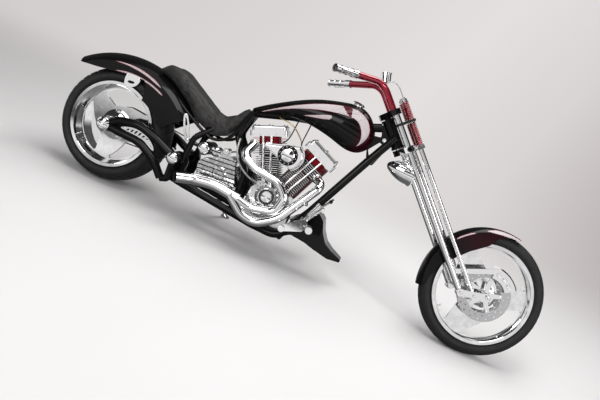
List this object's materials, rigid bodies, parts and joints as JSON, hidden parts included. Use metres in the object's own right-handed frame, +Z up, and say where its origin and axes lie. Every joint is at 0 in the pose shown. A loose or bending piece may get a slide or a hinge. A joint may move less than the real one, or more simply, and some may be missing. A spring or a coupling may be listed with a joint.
{
  "type": "long custom motorcycle",
  "caption": "Long low custom motorcycle with a raked springer fork, V-twin engine, stretched tank, wide rear wheel and side stand; wheels, steering and stand move.",
  "frame": {"origin": "middle of the footprint on the ground", "axes": "+X forward, +Y to the rider's left, +Z up"},
  "size_m": [2.9371, 0.7266, 1.2159],
  "materials": {
    "tyre": "matt rubber",
    "chrome": "polished chrome",
    "gloss_black": "gloss black lacquer",
    "frame_black": "gloss black frame paint",
    "candy_red": "candy red over chrome",
    "leather": "matt dark leather",
    "black_engine": "black coated fins, machined edges",
    "belt": "black toothed belt",
    "polished": "polished aluminium"
  },
  "bodies": {
    "frame": {"neck": "frame_black", "backbone": "frame_black", "frame_cradle": "frame_black", "swingarm": "frame_black", "rear_axle": "chrome", "rear_fender": "gloss_black", "fuel_tank": "gloss_black", "fuel_cap": "chrome", "seat": "leather", "oil_tank": "gloss_black", "crankcase": "polished", "front_cylinder": "black_engine", "rear_cylinder": "black_engine", "front_rocker_box": "chrome", "rear_rocker_box": "chrome", "cam_cover": "chrome", "pushrods": "chrome", "air_cleaner": "chrome", "transmission": "polished", "primary_cover": "polished", "drive_belt": "belt", "rear_exhaust": "chrome", "front_exhaust": "chrome", "chin_spoiler": "gloss_black", "foot_controls": "chrome"},
    "steering": {"fork_trees": "chrome", "rigid_legs": "chrome", "spring_legs": "chrome", "fork_springs": "candy_red", "rockers": "chrome", "front_axle": "chrome", "front_caliper": "chrome", "front_fender": "gloss_black", "handlebar": "candy_red", "grips": "chrome", "gauge": "chrome", "headlight": "chrome", "control_cables": "chrome"},
    "front_wheel": {"front_tyre": "tyre", "front_rim": "chrome", "front_disc": "chrome"},
    "rear_wheel": {"rear_tyre": "tyre", "rear_rim": "chrome", "rear_pulley": "chrome"},
    "side_stand": {"side_stand": "chrome"}
  },
  "joints": [
    {"name": "steering_turn", "type": "hinge", "parent": "frame", "child": "steering", "pos_m": [0.36916, 0.05184, 0.86348], "axis": [-0.7063, 0.0984, 0.701], "range_deg": [-36.4, 19.6]},
    {"name": "front_wheel_spin", "type": "hinge", "parent": "steering", "child": "front_wheel", "pos_m": [1.12319, 0.00225, 0.33833], "axis": [-0.1036, 0.9653, -0.2399], "continuous": true},
    {"name": "rear_wheel_spin", "type": "hinge", "parent": "frame", "child": "rear_wheel", "pos_m": [-1.14359, -0.02427, 0.32365], "axis": [-0.0002, 0.9903, -0.1392], "continuous": true},
    {"name": "stand_fold", "type": "hinge", "parent": "frame", "child": "side_stand", "pos_m": [-0.45381, 0.09991, 0.1287], "axis": [0.0003, 0.9613, 0.2756], "range_deg": [0, 85]}
  ]
}
